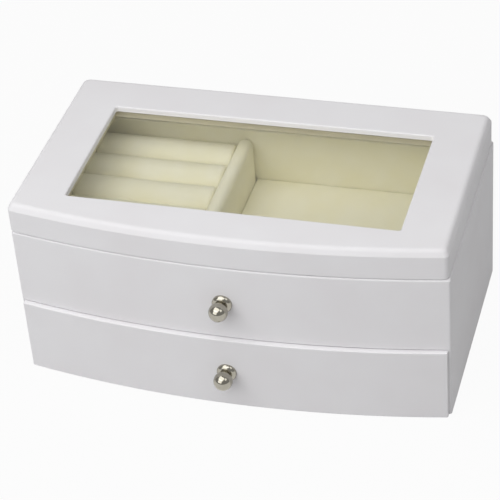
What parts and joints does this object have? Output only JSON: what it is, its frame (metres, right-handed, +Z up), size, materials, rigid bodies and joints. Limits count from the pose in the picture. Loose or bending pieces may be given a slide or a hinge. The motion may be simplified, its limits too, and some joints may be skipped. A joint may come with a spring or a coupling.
{
  "type": "jewellery display box",
  "caption": "Bow-fronted white jewellery box: glass-topped hinged lid over a ring tray and an open tray, with a lined drawer below and ball knobs.",
  "frame": {"origin": "centre of the case's footprint on the surface it stands on, under the felt base; midway between the front corners and the back", "axes": "+X to the right of someone facing the knobs, +Y to the back where the lid is hinged, +Z up"},
  "size_m": [0.2527, 0.1677, 0.1155],
  "materials": {
    "white_lacquer": "fibreboard with smooth satin white lacquer",
    "cream_velvet": "short-pile cream velvet",
    "limewood": "bare planed limewood",
    "felt": "thin pressed felt",
    "glass": "clear float glass",
    "polished_nickel": "polished nickel plate",
    "nickel_plated_steel": "nickel-plated pressed steel",
    "zinc_steel": "zinc-plated steel"
  },
  "bodies": {
    "case": {"case_left_side": "white_lacquer", "case_right_side": "white_lacquer", "case_front_panel": "white_lacquer", "case_back": "white_lacquer", "case_shelf": "white_lacquer", "case_bottom": "white_lacquer", "tray_lining_back": "cream_velvet", "tray_lining_front": "cream_velvet", "tray_lining_left": "cream_velvet", "tray_lining_right": "cream_velvet", "ring_roll_1": "cream_velvet", "ring_roll_2": "cream_velvet", "ring_roll_3": "cream_velvet", "ring_roll_4": "cream_velvet", "ring_roll_5": "cream_velvet", "tray_floor_pad": "cream_velvet", "divider": "cream_velvet", "base_felt": "felt", "upper_knob": "polished_nickel", "hinge_left_case_leaf": "nickel_plated_steel", "hinge_left_pin": "nickel_plated_steel", "hinge_right_case_leaf": "nickel_plated_steel", "hinge_right_pin": "nickel_plated_steel", "hinge_case_screws": "nickel_plated_steel", "upper_knob_screw": "zinc_steel"},
    "lid": {"lid_window_board": "white_lacquer", "lid_rim_front": "white_lacquer", "lid_rim_back": "white_lacquer", "lid_rim_left": "white_lacquer", "lid_rim_right": "white_lacquer", "lid_bead_front": "limewood", "lid_bead_back": "limewood", "lid_bead_left": "limewood", "lid_bead_right": "limewood", "lid_glass": "glass", "hinge_left_lid_leaf": "nickel_plated_steel", "hinge_right_lid_leaf": "nickel_plated_steel", "hinge_lid_screws": "nickel_plated_steel"},
    "drawer": {"drawer_front": "white_lacquer", "drawer_left_side": "white_lacquer", "drawer_right_side": "white_lacquer", "drawer_back": "white_lacquer", "drawer_floor_panel": "white_lacquer", "drawer_lining_back": "cream_velvet", "drawer_lining_front": "cream_velvet", "drawer_lining_left": "cream_velvet", "drawer_lining_right": "cream_velvet", "drawer_floor_pad": "cream_velvet", "drawer_knob": "polished_nickel", "drawer_knob_screw": "zinc_steel"}
  },
  "joints": [
    {"name": "lid_hinge", "type": "hinge", "parent": "case", "child": "lid", "pos_m": [0, 0.0698, 0.09655], "axis": [-1, 0, 0], "range_deg": [0, 95]},
    {"name": "drawer_slide", "type": "slide", "parent": "case", "child": "drawer", "axis": [0, -1, 0], "range_m": [0, 0.1]}
  ]
}
